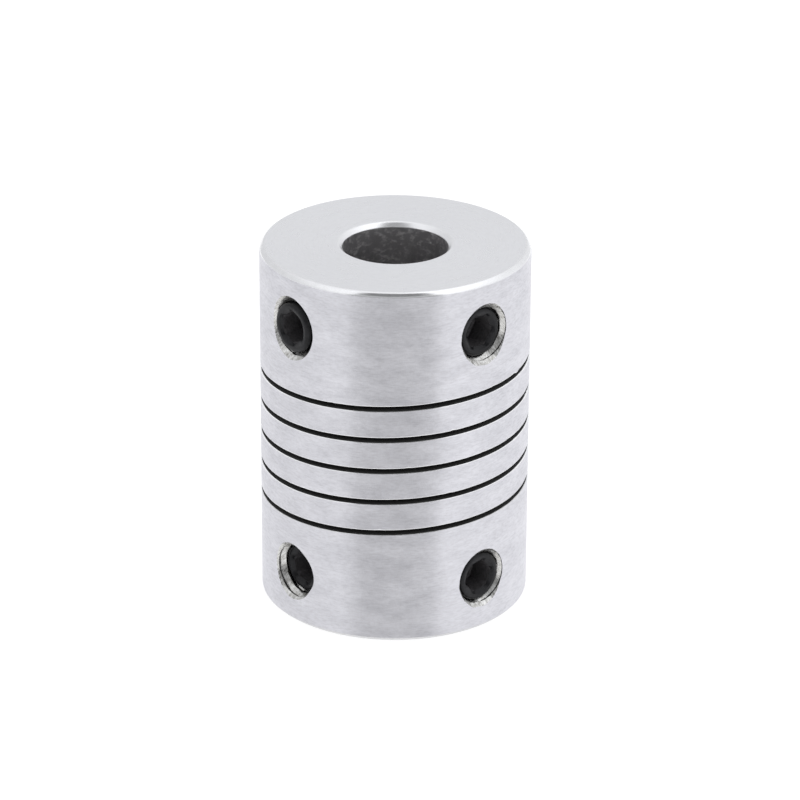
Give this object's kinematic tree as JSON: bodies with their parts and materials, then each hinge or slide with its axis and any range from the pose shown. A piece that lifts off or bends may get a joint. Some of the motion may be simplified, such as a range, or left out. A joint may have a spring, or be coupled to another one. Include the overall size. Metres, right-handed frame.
{
  "type": "beam coupling",
  "caption": "Flexible helical beam coupling: a slotted aluminium sleeve with black cup point set screws that clamp a shaft in each end.",
  "frame": {"origin": "centre of the lower end face", "axes": "+Z along the shaft axis towards the upper hub; the set screws of both hubs point out along -Y and +X"},
  "size_m": [0.018, 0.018, 0.025],
  "materials": {
    "turned_aluminium": "fine turned, bare",
    "black_oxide_steel": "black oxide, satin"
  },
  "bodies": {
    "lower_hub": {"lower_hub": "turned_aluminium"},
    "beam_segment_1": {"beam_segment_1": "turned_aluminium"},
    "beam_segment_2": {"beam_segment_2": "turned_aluminium"},
    "beam_segment_3": {"beam_segment_3": "turned_aluminium"},
    "beam_segment_4": {"beam_segment_4": "turned_aluminium"},
    "beam_segment_5": {"beam_segment_5": "turned_aluminium"},
    "upper_hub": {"upper_hub": "turned_aluminium"},
    "lower_set_screw_front": {"lower_set_screw_front": "black_oxide_steel"},
    "lower_set_screw_right": {"lower_set_screw_right": "black_oxide_steel"},
    "upper_set_screw_front": {"upper_set_screw_front": "black_oxide_steel"},
    "upper_set_screw_right": {"upper_set_screw_right": "black_oxide_steel"}
  },
  "joints": [
    {"name": "lower_bend_x", "type": "hinge", "parent": "lower_hub", "child": "beam_segment_1", "pos_m": [0, 0, 0.00811], "axis": [1, 0, 0], "range_deg": [-1, 1], "stiffness_Nm_per_rad": 2.68},
    {"name": "lower_bend_y", "type": "hinge", "parent": "beam_segment_1", "child": "beam_segment_2", "pos_m": [0, 0, 0.00986], "axis": [0, 1, 0], "range_deg": [-1, 1], "stiffness_Nm_per_rad": 2.68},
    {"name": "wind_up", "type": "hinge", "parent": "beam_segment_2", "child": "beam_segment_3", "pos_m": [0, 0, 0.01162], "axis": [0, 0, 1], "range_deg": [-1, 1], "stiffness_Nm_per_rad": 11.1},
    {"name": "stretch", "type": "slide", "parent": "beam_segment_3", "child": "beam_segment_4", "axis": [0, 0, 1], "range_m": [-0.00015, 0.00015], "stiffness_N_per_m": 37600},
    {"name": "upper_bend_y", "type": "hinge", "parent": "beam_segment_4", "child": "beam_segment_5", "pos_m": [0, 0, 0.01514], "axis": [0, 1, 0], "range_deg": [-1, 1], "stiffness_Nm_per_rad": 2.68},
    {"name": "upper_bend_x", "type": "hinge", "parent": "beam_segment_5", "child": "upper_hub", "pos_m": [0, 0, 0.01689], "axis": [1, 0, 0], "range_deg": [-1, 1], "stiffness_Nm_per_rad": 2.68},
    {"name": "lower_front_screw_travel", "type": "slide", "parent": "lower_hub", "child": "lower_set_screw_front", "axis": [0, 1, 0], "range_m": [-0.0029, 0.0006]},
    {"name": "lower_right_screw_travel", "type": "slide", "parent": "lower_hub", "child": "lower_set_screw_right", "axis": [-1, 0, 0], "range_m": [-0.0023, 0.0012]},
    {"name": "upper_front_screw_travel", "type": "slide", "parent": "upper_hub", "child": "upper_set_screw_front", "axis": [0, 1, 0], "range_m": [-0.00205, 0.00145]},
    {"name": "upper_right_screw_travel", "type": "slide", "parent": "upper_hub", "child": "upper_set_screw_right", "axis": [-1, 0, 0], "range_m": [-0.0025, 0.001]}
  ]
}
